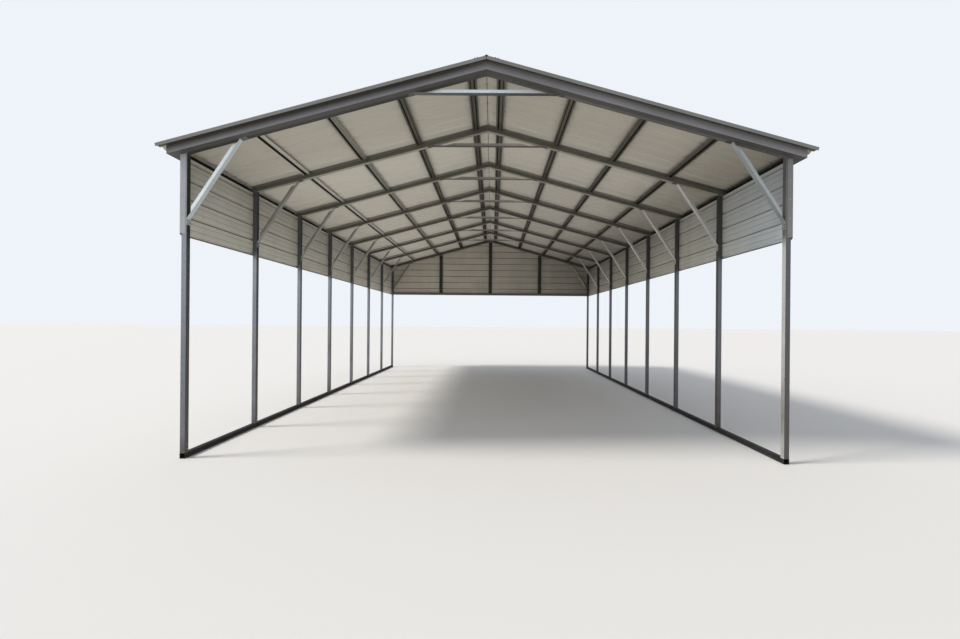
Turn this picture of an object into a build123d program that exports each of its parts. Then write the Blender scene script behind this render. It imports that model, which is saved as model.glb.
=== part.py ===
from build123d import *
import os
from math import atan, cos, hypot, sin

# Driving dimensions, in millimetres.
# X runs across the carport, Y along it with the open front at -Y, and Z up from the floor.

# Plan of the frame
OUTER_WIDTH = 7315.2
FRAME_LENGTH = 10668.0
FRAME_COUNT = 8
EAVE_HEIGHT = 3668.0
ROOF_PITCH = 0.27

# Square tube of the rails, posts, rafters and header
TUBE = 63.5
TUBE_WALL = 2.1

# Short sleeves welded to the rails, which the posts slip over
SLEEVE_HEIGHT = 152.0
SLEEVE_CLEARANCE = 0.3

# Rafter tails and the weld gap at the ridge mitre
TAIL_OVERHANG = 120.0
MITRE_GAP = 0.5

# Channel braces, with their flanges cut off short of the posts and rafters
BRACE_FLANGE = 38.0
BRACE_WIDTH = 63.5
BRACE_GAUGE = 1.9
BRACE_TAB = 75.0
BRACE_END_GAP = 50.0
KNEE_FOOT_DROP = 776.0
KNEE_REACH = 634.0
PEAK_BRACE_DROP = 233.0

# Hat channels that carry the roof sheets, evenly spaced down each slope from the first one beside the ridge,
# with one more over the rafter tails. The same channel stands in the gable.
HAT_DEPTH = 35.0
HAT_CROWN = 76.0
HAT_MOUTH = 83.0
HAT_FLANGE = 18.0
HAT_GAUGE = 1.2
RIDGE_HAT_PLACE = 181.0
HAT_SPACING = 880.0
SLOPE_HAT_COUNT = 4
EAVE_HAT_GAP = 3.0

# Ribbed sheet of the roof, sides and back gable
SHEET_GAUGE = 0.5
RIB_PITCH = 228.6
RIB_HEIGHT = 19.0
RIB_BASE = 60.0
RIB_TOP = 22.0
MINOR_RIB_HEIGHT = 3.0
MINOR_RIB_BASE = 22.0
SHEET_LAP = 32.0
ROOF_GABLE_OVERHANG = 152.4
ROOF_EAVE_OVERHANG = 87.0
RIDGE_SHEET_GAP = 4.0
SIDE_RIB_COUNT = 5
SIDE_SHEET_DROP = 7.6

# Back gable
HEADER_SETBACK = 14.0
STUD_SPACING = 1829.0
GABLE_SHEET_GAP = 0.3

# Folded trims
TRIM_GAUGE = 0.5
FASCIA_REACH = 90.0
FASCIA_LIP = 22.0
RAKE_TOP = 140.0
RAKE_DROP = 40.0
CAP_WING = 178.0
CAP_RISE = 8.0
CAP_HUMP = 26.0
CORNER_LEG = 62.0
CORNER_SETBACK = 34.0

# Anchor holes through the base rails, one beside each post
ANCHOR_HOLE = 14.3
ANCHOR_OFFSET = 150.0

# Worked out from the driving dimensions
SLOPE = atan(ROOF_PITCH)
POST_OUT = OUTER_WIDTH / 2
POST_IN = POST_OUT - TUBE
TAIL_END = POST_OUT + TAIL_OVERHANG
ROOF_EDGE = TAIL_END + ROOF_EAVE_OVERHANG
ROOF_LENGTH = FRAME_LENGTH + 2 * ROOF_GABLE_OVERHANG
ROOF_RIB_COUNT = round(ROOF_LENGTH / RIB_PITCH)
FRAME_FRONT = -FRAME_LENGTH / 2
FRAME_BACK = FRAME_LENGTH / 2
FRAME_PITCH = (FRAME_LENGTH - TUBE) / (FRAME_COUNT - 1)
FRAME_STARTS = [FRAME_FRONT + FRAME_PITCH * place for place in range(FRAME_COUNT)]
HAT_RISE = TUBE
SHEET_RISE = HAT_RISE + HAT_DEPTH
RIB_TOP_RISE = SHEET_RISE + SHEET_GAUGE + RIB_HEIGHT
SIDE_SHEET_OUT = POST_OUT + SHEET_GAUGE + RIB_HEIGHT
SIDE_SHEET_HEIGHT = (SIDE_RIB_COUNT - 1) * RIB_PITCH + 2 * SHEET_LAP
SIDE_SHEET_BOTTOM = EAVE_HEIGHT - SIDE_SHEET_DROP - SIDE_SHEET_HEIGHT
GABLE_SHEET_OUT = FRAME_BACK + SHEET_GAUGE + RIB_HEIGHT
HEADER_BOTTOM = SIDE_SHEET_BOTTOM + HEADER_SETBACK
CORNER_TRIM_BOTTOM = SIDE_SHEET_BOTTOM + CORNER_SETBACK
KNEE_FOOT = EAVE_HEIGHT - KNEE_FOOT_DROP
PEAK_BRACE_BOTTOM = EAVE_HEIGHT + POST_OUT * ROOF_PITCH - PEAK_BRACE_DROP


def roof_z(x, rise=0.0):
    """Height, at a distance x from the ridge, of a line set rise above the rafters' underside."""
    return EAVE_HEIGHT + (POST_OUT - x) * ROOF_PITCH + rise / cos(SLOPE)


def roof_x(z, rise=0.0):
    """Distance from the ridge at which such a line reaches the height z."""
    return POST_OUT - (z - rise / cos(SLOPE) - EAVE_HEIGHT) / ROOF_PITCH


def plate(points, start, length):
    """A flat outline in X and Z, made solid along +Y from start."""
    plane = Plane(origin=(0, start, 0), x_dir=(1, 0, 0), z_dir=(0, -1, 0))
    return extrude(plane * make_face(Polyline(*points, close=True)), -length)


def slope_plane(x, rise, along_slope):
    """A plane on the right slope, with Y or the slope as its first direction."""
    origin = (x, 0, roof_z(x, rise))
    if along_slope:
        return Plane(origin=origin, x_dir=(0, 1, 0), z_dir=(cos(SLOPE), 0, -sin(SLOPE)))
    return Plane(origin=origin, x_dir=(cos(SLOPE), 0, -sin(SLOPE)), z_dir=(0, -1, 0))


def to_left(shape):
    """The same piece on the left side."""
    return mirror(shape, about=Plane.YZ)


def both_sides(shape):
    """The piece and its twin on the left side."""
    return [shape, to_left(shape)]


def sloped_tube(x_low, x_high, bottoms, tops, start):
    """A square tube in the frame's plane between two upright cuts."""
    wall = TUBE_WALL
    outer = [
        (x_low, bottoms[0]),
        (x_high, bottoms[1]),
        (x_high, tops[1]),
        (x_low, tops[0]),
    ]
    lift = wall / cos(SLOPE)
    inner = [
        (x_low, bottoms[0] + lift),
        (x_high, bottoms[1] + lift),
        (x_high, tops[1] - lift),
        (x_low, tops[0] - lift),
    ]
    return plate(outer, start, TUBE) - plate(inner, start + wall, TUBE - 2 * wall)


def upright_tube(x_low, x_high, z_low, start):
    """An upright square tube cut to the slope under the rafter."""
    wall = TUBE_WALL
    outer = [
        (x_low, z_low),
        (x_high, z_low),
        (x_high, roof_z(x_high)),
        (x_low, roof_z(x_low)),
    ]
    inner = [
        (x_low + wall, z_low),
        (x_high - wall, z_low),
        (x_high - wall, roof_z(x_high - wall)),
        (x_low + wall, roof_z(x_low + wall)),
    ]
    return plate(outer, start, TUBE) - plate(inner, start + wall, TUBE - 2 * wall)


def base_rail():
    """The right rail on the floor, open at its ends and drilled for the anchors."""
    middle = POST_OUT - TUBE / 2
    rail = Pos(middle, 0, TUBE / 2) * Box(TUBE, FRAME_LENGTH, TUBE)
    bore = TUBE - 2 * TUBE_WALL
    rail -= Pos(middle, 0, TUBE / 2) * Box(bore, FRAME_LENGTH, bore)
    for y in anchor_places():
        rail -= Pos(middle, y, TUBE / 2) * Cylinder(ANCHOR_HOLE / 2, TUBE)
    return rail


def anchor_places():
    """One anchor beside each post, on the side towards the middle of the carport."""
    places = []
    for start in FRAME_STARTS:
        centre = start + TUBE / 2
        inward = -1 if centre > 0 else 1
        places.append(centre + inward * ANCHOR_OFFSET)
    return places


def post_sleeves():
    """Short tubes that stand on the right rail inside the posts."""
    outside = TUBE - 2 * TUBE_WALL - 2 * SLEEVE_CLEARANCE
    inside = outside - 2 * TUBE_WALL
    sleeves = []
    for start in FRAME_STARTS:
        place = Pos(POST_OUT - TUBE / 2, start + TUBE / 2, TUBE + SLEEVE_HEIGHT / 2)
        sleeves.append(place * (Box(outside, outside, SLEEVE_HEIGHT) - Box(inside, inside, SLEEVE_HEIGHT)))
    return sleeves


def rafter(start):
    """The right rafter, from the ridge mitre to its tail past the post."""
    low = MITRE_GAP / 2
    bottoms = (roof_z(low), roof_z(TAIL_END))
    tops = (roof_z(low, TUBE), roof_z(TAIL_END, TUBE))
    return sloped_tube(low, TAIL_END, bottoms, tops, start)


def channel(web, flange, start):
    """A channel in the frame's plane from the outlines of its web with end tabs and of its flange."""
    start += (TUBE - BRACE_WIDTH) / 2
    solid = plate(web, start, BRACE_WIDTH)
    solid += plate(flange, start, BRACE_GAUGE)
    solid += plate(flange, start + BRACE_WIDTH - BRACE_GAUGE, BRACE_GAUGE)
    return solid


def knee_brace(start):
    """The right knee brace: web on the lower side, flanges towards the eave, a bent tab at each end."""
    foot = (POST_IN, KNEE_FOOT)
    head_x = POST_IN - KNEE_REACH
    head = (head_x, roof_z(head_x))
    length = hypot(head[0] - foot[0], head[1] - foot[1])
    along = ((head[0] - foot[0]) / length, (head[1] - foot[1]) / length)
    up = (along[1], -along[0])

    def on_post(offset):
        """Where a line set off from the web's lower face meets the post."""
        return foot[1] - offset / along[0]

    def on_rafter(offset, rise=0.0):
        """Where the same line meets one set rise above the rafter's underside."""
        x0 = foot[0] + up[0] * offset
        z0 = foot[1] + up[1] * offset
        reach = (roof_z(x0, rise) - z0) / (along[1] + along[0] * ROOF_PITCH)
        return (x0 + along[0] * reach, z0 + along[1] * reach)

    def beside_post(offset):
        """Where the same line ends short of the post."""
        run = (up[0] * offset + BRACE_END_GAP) / -along[0]
        return (POST_IN - BRACE_END_GAP, foot[1] + up[1] * offset + along[1] * run)

    gauge = BRACE_GAUGE
    tab_x = head_x - BRACE_TAB * cos(SLOPE)
    web = [
        (POST_IN, foot[1] - BRACE_TAB),
        (POST_IN, on_post(gauge)),
        on_rafter(gauge),
        (tab_x, roof_z(tab_x)),
        (tab_x, roof_z(tab_x, -gauge)),
        on_rafter(0, -gauge),
        (POST_IN - gauge, foot[1] - gauge * along[1] / along[0]),
        (POST_IN - gauge, foot[1] - BRACE_TAB),
    ]
    flange = [
        beside_post(0),
        beside_post(BRACE_FLANGE),
        on_rafter(BRACE_FLANGE, -BRACE_END_GAP),
        on_rafter(0, -BRACE_END_GAP),
    ]
    return channel(web, flange, start)


def peak_brace(start):
    """The level brace under the ridge, with a bent tab under each rafter."""
    low = PEAK_BRACE_BOTTOM
    gauge = BRACE_GAUGE
    high = low + BRACE_FLANGE
    end = roof_x(low)
    tab = end + BRACE_TAB * cos(SLOPE)
    half_web = [
        (roof_x(low + gauge), low + gauge),
        (tab, roof_z(tab)),
        (tab, roof_z(tab, -gauge)),
        (roof_x(low, -gauge), low),
    ]
    web = half_web + [(-x, z) for x, z in reversed(half_web)]
    half_flange = [(roof_x(low, -BRACE_END_GAP), low), (roof_x(high, -BRACE_END_GAP), high)]
    flange = half_flange + [(-x, z) for x, z in reversed(half_flange)]
    return channel(web, flange, start)


def hat_outline():
    """Cross-section of a hat channel standing on its flanges."""
    gauge = HAT_GAUGE
    crown = HAT_CROWN / 2
    mouth = HAT_MOUTH / 2
    edge = mouth + gauge + HAT_FLANGE
    half = [
        (edge, 0),
        (edge, gauge),
        (mouth + gauge, gauge),
        (crown, HAT_DEPTH),
    ]
    hollow = [
        (-crown + gauge, HAT_DEPTH - gauge),
        (crown - gauge, HAT_DEPTH - gauge),
        (mouth, 0),
    ]
    return half + [(-u, v) for u, v in reversed(half)] + [(-mouth, 0)] + hollow


def hat_channel(x):
    """A hat channel on the right rafters, crown up, centred at the distance x from the ridge."""
    length = FRAME_LENGTH + 2 * (FASCIA_REACH - TRIM_GAUGE)
    face = slope_plane(x, HAT_RISE, False) * make_face(Polyline(*hat_outline(), close=True))
    return Pos(0, -length / 2, 0) * extrude(face, -length)


def hats():
    """All the hat channels of the right slope."""
    half = HAT_MOUTH / 2 + HAT_GAUGE + HAT_FLANGE
    places = [RIDGE_HAT_PLACE + HAT_SPACING * place for place in range(SLOPE_HAT_COUNT)]
    eave_place = TAIL_END - EAVE_HAT_GAP - half * cos(SLOPE)
    return [hat_channel(x) for x in (*places, eave_place)]


def rib_line(length, count, minor):
    """Underside of a ribbed sheet in cross-section, with its ribs centred on its length."""
    first = (length - (count - 1) * RIB_PITCH) / 2
    line = [(0, 0)]
    for place in range(count):
        centre = first + place * RIB_PITCH
        line.append((centre - RIB_BASE / 2, 0))
        line.append((centre - RIB_TOP / 2, RIB_HEIGHT))
        line.append((centre + RIB_TOP / 2, RIB_HEIGHT))
        line.append((centre + RIB_BASE / 2, 0))
        if minor and place < count - 1:
            for share in (1 / 3, 2 / 3):
                middle = centre + RIB_PITCH * share
                line.append((middle - MINOR_RIB_BASE / 2, 0))
                line.append((middle, MINOR_RIB_HEIGHT))
                line.append((middle + MINOR_RIB_BASE / 2, 0))
    line.append((length, 0))
    return line


def sheet_outline(line):
    """The closed cross-section of a sheet from its underside line."""
    return line + [(u, v + SHEET_GAUGE) for u, v in reversed(line)]


def roof_sheet():
    """The right roof sheet: ribs run down the slope."""
    outline = sheet_outline(rib_line(ROOF_LENGTH, ROOF_RIB_COUNT, False))
    outline = [(u - ROOF_LENGTH / 2, v) for u, v in outline]
    plane = slope_plane(RIDGE_SHEET_GAP, SHEET_RISE, True)
    run = (ROOF_EDGE - RIDGE_SHEET_GAP) / cos(SLOPE)
    return extrude(plane * make_face(Polyline(*outline, close=True)), run)


def side_sheet():
    """The right side sheet: ribs level, standing outwards from the posts."""
    outline = sheet_outline(rib_line(SIDE_SHEET_HEIGHT, SIDE_RIB_COUNT, True))
    points = [(POST_OUT + v, SIDE_SHEET_BOTTOM + u) for u, v in outline]
    return plate(points, FRAME_FRONT, FRAME_LENGTH)


def gable_sheet():
    """The back gable sheet: ribs level, cut to the slope under the hat channels."""
    tall = roof_z(0, TUBE) - SIDE_SHEET_BOTTOM
    count = int(tall // RIB_PITCH) + 2
    outline = sheet_outline(rib_line((count - 1) * RIB_PITCH + 2 * SHEET_LAP, count, True))
    plane = Plane(origin=(POST_OUT, FRAME_BACK, SIDE_SHEET_BOTTOM), x_dir=(0, 0, 1), z_dir=(-1, 0, 0))
    sheet = extrude(plane * make_face(Polyline(*outline, close=True)), OUTER_WIDTH)
    window = [
        (-POST_OUT, SIDE_SHEET_BOTTOM),
        (POST_OUT, SIDE_SHEET_BOTTOM),
        (POST_OUT, roof_z(POST_OUT, TUBE - GABLE_SHEET_GAP)),
        (0, roof_z(0, TUBE - GABLE_SHEET_GAP)),
        (-POST_OUT, roof_z(POST_OUT, TUBE - GABLE_SHEET_GAP)),
    ]
    return sheet & plate(window, FRAME_BACK, RIB_HEIGHT + SHEET_GAUGE)


def gable_header(start):
    """The level tube between the back posts."""
    wall = TUBE_WALL
    outer = Box(OUTER_WIDTH - 2 * TUBE, TUBE, TUBE)
    inner = Box(OUTER_WIDTH - 2 * TUBE, TUBE - 2 * wall, TUBE - 2 * wall)
    return Pos(0, start + TUBE / 2, HEADER_BOTTOM + TUBE / 2) * (outer - inner)


def gable_studs(start):
    """Upright hat channels from the header to the rafters, with their crowns against the gable sheet."""
    foot = HEADER_BOTTOM + TUBE
    window = [
        (-POST_IN, foot),
        (POST_IN, foot),
        (POST_IN, roof_z(POST_IN)),
        (0, roof_z(0)),
        (-POST_IN, roof_z(POST_IN)),
    ]
    studs = []
    for x in (-STUD_SPACING, 0, STUD_SPACING):
        plane = Plane(origin=(x, start + TUBE - HAT_DEPTH, foot), x_dir=(1, 0, 0), z_dir=(0, 0, 1))
        stud = extrude(plane * make_face(Polyline(*hat_outline(), close=True)), roof_z(0) - foot)
        studs.append(stud & plate(window, start, TUBE))
    return studs


def gable_trim(front):
    """The right half of a gable's fascia, with a soffit back to the frame and a lip up against it."""
    gauge = TRIM_GAUGE
    outer = FASCIA_REACH
    face = 0.0 if front else GABLE_SHEET_OUT - FRAME_BACK
    outline = [
        (outer, 0),
        (outer, SHEET_RISE),
        (outer - gauge, SHEET_RISE),
        (outer - gauge, gauge),
        (face + gauge, gauge),
        (face + gauge, FASCIA_LIP),
        (face, FASCIA_LIP),
        (face, 0),
    ]
    sign = -1 if front else 1
    edge = FRAME_FRONT if front else FRAME_BACK
    points = [(edge + sign * u, v) for u, v in outline]
    plane = slope_plane(-TUBE, 0, True)
    run = (TAIL_END + 2 * TUBE) / cos(SLOPE)
    solid = extrude(plane * make_face(Polyline(*points, close=True)), run)
    low = MITRE_GAP / 2
    window = [
        (low, roof_z(low, -TUBE)),
        (TAIL_END, roof_z(TAIL_END, -TUBE)),
        (TAIL_END, roof_z(TAIL_END, 3 * TUBE)),
        (low, roof_z(low, 3 * TUBE)),
    ]
    return solid & plate(window, edge - 2 * FASCIA_REACH, 4 * FASCIA_REACH)


def rake_trim(front):
    """The right half of the trim on a gable edge of the roof: a leg on the ribs and a leg down the edge."""
    gauge = TRIM_GAUGE
    end = ROOF_LENGTH / 2
    top = SHEET_GAUGE + RIB_HEIGHT
    outline = [
        (end + gauge, top + gauge),
        (end - RAKE_TOP, top + gauge),
        (end - RAKE_TOP, top),
        (end, top),
        (end, top - RAKE_DROP),
        (end + gauge, top - RAKE_DROP),
    ]
    sign = -1 if front else 1
    points = [(sign * u, v) for u, v in outline]
    plane = slope_plane(RIDGE_SHEET_GAP, SHEET_RISE, True)
    run = (ROOF_EDGE - RIDGE_SHEET_GAP) / cos(SLOPE)
    return extrude(plane * make_face(Polyline(*points, close=True)), run)


def ridge_cap():
    """The cap over both slopes, folded up a little along the ridge."""
    gauge = TRIM_GAUGE
    low = RIB_TOP_RISE + gauge
    wing = CAP_WING * cos(SLOPE)
    half = [
        (wing, roof_z(wing, low)),
        (CAP_HUMP, roof_z(CAP_HUMP, low)),
        (CAP_HUMP / 2, roof_z(CAP_HUMP / 2, low) + CAP_RISE),
    ]
    line = half + [(0, roof_z(0, low) + CAP_RISE)] + [(-x, z) for x, z in reversed(half)]
    lift = gauge / cos(SLOPE)
    outline = line + [(x, z + lift) for x, z in reversed(line)]
    length = ROOF_LENGTH + 2 * gauge
    return plate(outline, -length / 2, length)


def eave_trim():
    """The right eave: a fascia down the rafter tails and a soffit under them back to the side sheet."""
    gauge = TRIM_GAUGE
    inner = SIDE_SHEET_OUT + gauge
    outer = TAIL_END + gauge
    points = [
        (inner, roof_z(inner, -gauge)),
        (outer, roof_z(outer, -gauge)),
        (outer, roof_z(outer, SHEET_RISE)),
        (TAIL_END, roof_z(TAIL_END, SHEET_RISE)),
        (TAIL_END, roof_z(TAIL_END)),
        (inner, roof_z(inner)),
    ]
    length = FRAME_LENGTH + 2 * FASCIA_REACH
    return plate(points, -length / 2, length)


def corner_trim(front):
    """The right corner trim: one leg on the front post or the gable sheet, one on the side sheet."""
    gauge = TRIM_GAUGE
    out = SIDE_SHEET_OUT
    edge = FRAME_LENGTH / 2 if front else GABLE_SHEET_OUT
    outline = [
        (out + gauge, edge + gauge),
        (out + gauge, edge - CORNER_LEG),
        (out, edge - CORNER_LEG),
        (out, edge),
        (out - CORNER_LEG, edge),
        (out - CORNER_LEG, edge + gauge),
    ]
    sign = -1 if front else 1
    top = roof_z(out + gauge, -gauge)
    points = [(x, sign * y) for x, y in outline]
    plane = Plane.XY.offset(CORNER_TRIM_BOTTOM)
    return extrude(plane * make_face(Polyline(*points, close=True)), top - CORNER_TRIM_BOTTOM)


def write(name, solids):
    """Write one named piece, or a set of like pieces, to its own file."""
    shape = Compound(children=list(solids)) if len(solids) > 1 else solids[0]
    shape.label = name
    export_step(shape, "parts/" + name + ".step")


os.makedirs("parts", exist_ok=True)

back_start = FRAME_STARTS[-1]

right_rail = base_rail()
write("base_rail_right", [right_rail])
write("base_rail_left", [to_left(right_rail)])
right_sleeves = post_sleeves()
write("post_sleeves", right_sleeves + [to_left(sleeve) for sleeve in right_sleeves])

for number, start in enumerate(FRAME_STARTS, 1):
    frame_name = "frame_" + str(number)
    write(frame_name + "_posts", both_sides(upright_tube(POST_IN, POST_OUT, TUBE, start)))
    write(frame_name + "_rafters", both_sides(rafter(start)))
    braces = both_sides(knee_brace(start))
    if start != back_start:
        braces.append(peak_brace(start))
    write(frame_name + "_braces", braces)

right_hats = hats()
write("purlins_right", right_hats)
write("purlins_left", [to_left(hat) for hat in right_hats])

right_roof = roof_sheet()
write("roof_sheet_right", [right_roof])
write("roof_sheet_left", [to_left(right_roof)])
write("ridge_cap", [ridge_cap()])

right_side = side_sheet()
write("side_sheet_right", [right_side])
write("side_sheet_left", [to_left(right_side)])

write("gable_sheet", [gable_sheet()])
write("gable_header", [gable_header(back_start)])
write("gable_studs", gable_studs(back_start))

write("gable_trim_front", both_sides(gable_trim(True)))
write("gable_trim_back", both_sides(gable_trim(False)))
write("rake_trim_front", both_sides(rake_trim(True)))
write("rake_trim_back", both_sides(rake_trim(False)))

right_eave = eave_trim()
write("eave_trim_right", [right_eave])
write("eave_trim_left", [to_left(right_eave)])
write("corner_trims_front", both_sides(corner_trim(True)))
write("corner_trims_back", both_sides(corner_trim(False)))
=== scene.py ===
import math

import bmesh
import bpy
from mathutils import Matrix, Vector


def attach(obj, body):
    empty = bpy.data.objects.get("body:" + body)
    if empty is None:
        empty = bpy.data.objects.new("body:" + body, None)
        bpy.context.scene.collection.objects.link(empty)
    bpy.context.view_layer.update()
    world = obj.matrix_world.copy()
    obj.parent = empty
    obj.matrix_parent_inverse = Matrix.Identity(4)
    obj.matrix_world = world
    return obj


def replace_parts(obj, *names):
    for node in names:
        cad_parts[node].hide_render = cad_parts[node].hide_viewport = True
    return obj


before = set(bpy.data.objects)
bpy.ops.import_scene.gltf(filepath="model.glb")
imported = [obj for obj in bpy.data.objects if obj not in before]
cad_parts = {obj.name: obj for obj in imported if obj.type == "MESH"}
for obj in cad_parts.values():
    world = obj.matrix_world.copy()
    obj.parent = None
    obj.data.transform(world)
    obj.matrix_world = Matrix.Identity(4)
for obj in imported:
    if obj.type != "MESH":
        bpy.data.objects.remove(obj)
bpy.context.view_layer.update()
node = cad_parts
scene = bpy.context.scene


# Camera
# It stands in front of the open gable at eye height, a little right of the middle, as the photograph's does.
camera_place = Vector((0.096, -10.407, 1.666))
camera_turn = math.radians(0.26)
camera_roll = math.radians(0.48)
lens = bpy.data.cameras.new("camera")
lens.sensor_width = 36.0
lens.lens = 15.86
lens.shift_x = -0.0110
lens.shift_y = 0.0034
lens.clip_end = 400.0
camera = bpy.data.objects.new("camera", lens)
camera.matrix_world = (
    Matrix.Translation(camera_place)
    @ Matrix.Rotation(camera_turn, 4, "Z")
    @ Matrix.Rotation(math.radians(90), 4, "X")
    @ Matrix.Rotation(camera_roll, 4, "Z")
)
scene.collection.objects.link(camera)
scene.camera = camera


# Studio
# A pale level floor and an even sky, one soft lamp from the left, and a broad fill that is stronger there.
floor_half = 150.0
floor_height = -0.0005
floor_colour = (0.80, 0.785, 0.76, 1)
backdrop_colour = (0.86, 0.90, 0.95, 1)
fill_colour = (0.86, 0.91, 1.0, 1)
fill_left = 0.98
fill_right = 0.27
key_level = 2.3
key_spread = math.radians(14)
key_colour = (1.0, 0.955, 0.89)
key_from = Vector((-0.67, -0.14, 0.735))


def added(tree, kind, fed, **settings):
    """A node of one kind with its settings, and what feeds its sockets: a plain value or another's output."""
    made = tree.nodes.new(kind)
    for setting, choice in settings.items():
        setattr(made, setting, choice)
    for socket, source in fed.items():
        if isinstance(source, bpy.types.NodeSocket):
            tree.links.new(source, made.inputs[socket])
        else:
            made.inputs[socket].default_value = source
    return made


def ranged(tree, value, span, share=1.0, start=0.0):
    """How far a value has come along a span, from nothing or a start to a share."""
    step = added(tree, "ShaderNodeMapRange", {
        "Value": value, "From Min": span[0], "From Max": span[1], "To Min": start, "To Max": share})
    return step.outputs["Result"]


def worked(tree, operation, first, second=0.0, third=0.0):
    """One step of arithmetic on numbers that are plain or come from the step before."""
    return added(tree, "ShaderNodeMath", {0: first, 1: second, 2: third}, operation=operation).outputs[0]


def new_finish(name, levels):
    """A material with the levels that are the same all over it, its nodes and its shader."""
    finish = bpy.data.materials.new(name)
    finish.use_nodes = True
    shader = finish.node_tree.nodes["Principled BSDF"]
    for title, level in levels.items():
        shader.inputs[title].default_value = level
    return finish, finish.node_tree, shader


floor_mesh = bpy.data.meshes.new("floor")
floor_mesh.from_pydata(
    [
        (-floor_half, -floor_half, floor_height),
        (floor_half, -floor_half, floor_height),
        (floor_half, floor_half, floor_height),
        (-floor_half, floor_half, floor_height),
    ],
    [],
    [(0, 1, 2, 3)],
)
floor = bpy.data.objects.new("floor", floor_mesh)
scene.collection.objects.link(floor)
floor_finish = new_finish(
    "plain_floor", {"Base Color": floor_colour, "Roughness": 0.85, "Specular IOR Level": 0.2})[0]
floor_mesh.materials.append(floor_finish)

world = bpy.data.worlds.new("studio")
scene.world = world
world.use_nodes = True
sky = world.node_tree
sky.nodes.clear()
seen = added(sky, "ShaderNodeLightPath", {}).outputs
seen_or_through = worked(sky, "MAXIMUM", seen["Is Camera Ray"], seen["Is Transmission Ray"])
seen_or_mirrored = worked(sky, "MAXIMUM", seen_or_through, seen["Is Glossy Ray"])
sky_way = added(sky, "ShaderNodeTexCoord", {}).outputs["Generated"]
sky_side = added(sky, "ShaderNodeSeparateXYZ", {0: sky_way}).outputs["X"]
fill_level = ranged(sky, sky_side, (1.0, -1.0), fill_left, fill_right)
fill = added(sky, "ShaderNodeBackground", {"Color": fill_colour, "Strength": fill_level})
backdrop = added(sky, "ShaderNodeBackground", {"Color": backdrop_colour, "Strength": 1.0})
either = added(sky, "ShaderNodeMixShader", {0: seen_or_mirrored, 1: fill.outputs[0], 2: backdrop.outputs[0]})
added(sky, "ShaderNodeOutputWorld", {"Surface": either.outputs[0]})

key_light = bpy.data.lights.new("key_lamp", "SUN")
key_light.energy = key_level
key_light.angle = key_spread
key_light.color = key_colour
key_lamp = bpy.data.objects.new("key_lamp", key_light)
key_lamp.matrix_world = key_from.to_track_quat("Z", "Y").to_matrix().to_4x4()
scene.collection.objects.link(key_lamp)

scene.view_settings.view_transform = "Standard"


# Base rails
# Square tube of 14 gauge laid on the ground down each side, galvanized, black with grime and painted shade,
# and splashed soil. Short sleeves are welded on it for the posts, and it is drilled beside each one for an
# anchor.
rail_colour = (0.036, 0.036, 0.037, 1)
rail_shade = (0.018, 0.018, 0.019, 1)
zinc_bloom = (0.40, 0.42, 0.43, 1)
# Pale zinc, laid on where light is painted.
painted_light_zinc = (0.86, 0.83, 0.76, 1)
soil = (0.085, 0.070, 0.053, 1)
rust = (0.13, 0.05, 0.02, 1)
# Near black, laid on wherever shade is painted: under things, in hollows, on faces turned from the light.
painted_shade_black = (0.024, 0.021, 0.015, 1)
spangle_scale = 75.0
crystal_share = 0.35
dulling_scale = 2.6
dulling_span = (0.42, 0.95)
bloom_scale = 17.0
bloom_span = (0.56, 0.78)
bloom_share = 0.35
rust_scale = 38.0
rust_span = (0.64, 0.72)
splash_span = (0.2, 0.7)
zinc_gloss_spread = 0.25
WHOLE = (0.0, 1.0)
DOWNWARD = (-0.35, -0.9)


def surface(tree):
    """Where a place on the piece lies and how far it faces along each axis, as one number each."""
    where = added(tree, "ShaderNodeTexCoord", {}).outputs
    at = {"way": where["Object"]}
    for output, before in (("Object", ""), ("Normal", "facing_")):
        axes = added(tree, "ShaderNodeSeparateXYZ", {0: where[output]}).outputs
        for axis in ("X", "Y", "Z"):
            at[before + axis] = axes[axis]
    return at


def pattern(tree, way, scale, detail, rough):
    """A cloudy pattern of one fineness over the piece."""
    return added(tree, "ShaderNodeTexNoise", {
        "Vector": way, "Scale": scale, "Detail": detail, "Roughness": rough}).outputs["Fac"]


def product(tree, first, second):
    """Two shares taken together."""
    return worked(tree, "MULTIPLY", first, second)


def laid_over(tree, share, under, over):
    """One colour over another by a share, where each is a plain colour or comes from the step before."""
    layer = added(tree, "ShaderNodeMix", {"Factor": share, "A": under, "B": over}, data_type="RGBA")
    return layer.outputs["Result"]


def skinned(tree, shader, colour, roughness, height, strength, depth):
    """Gives the shader its colour, its roughness and a slight relief."""
    relief = added(tree, "ShaderNodeBump", {"Height": height, "Strength": strength, "Distance": depth})
    tree.links.new(colour, shader.inputs["Base Color"])
    tree.links.new(roughness, shader.inputs["Roughness"])
    tree.links.new(relief.outputs[0], shader.inputs["Normal"])


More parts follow.
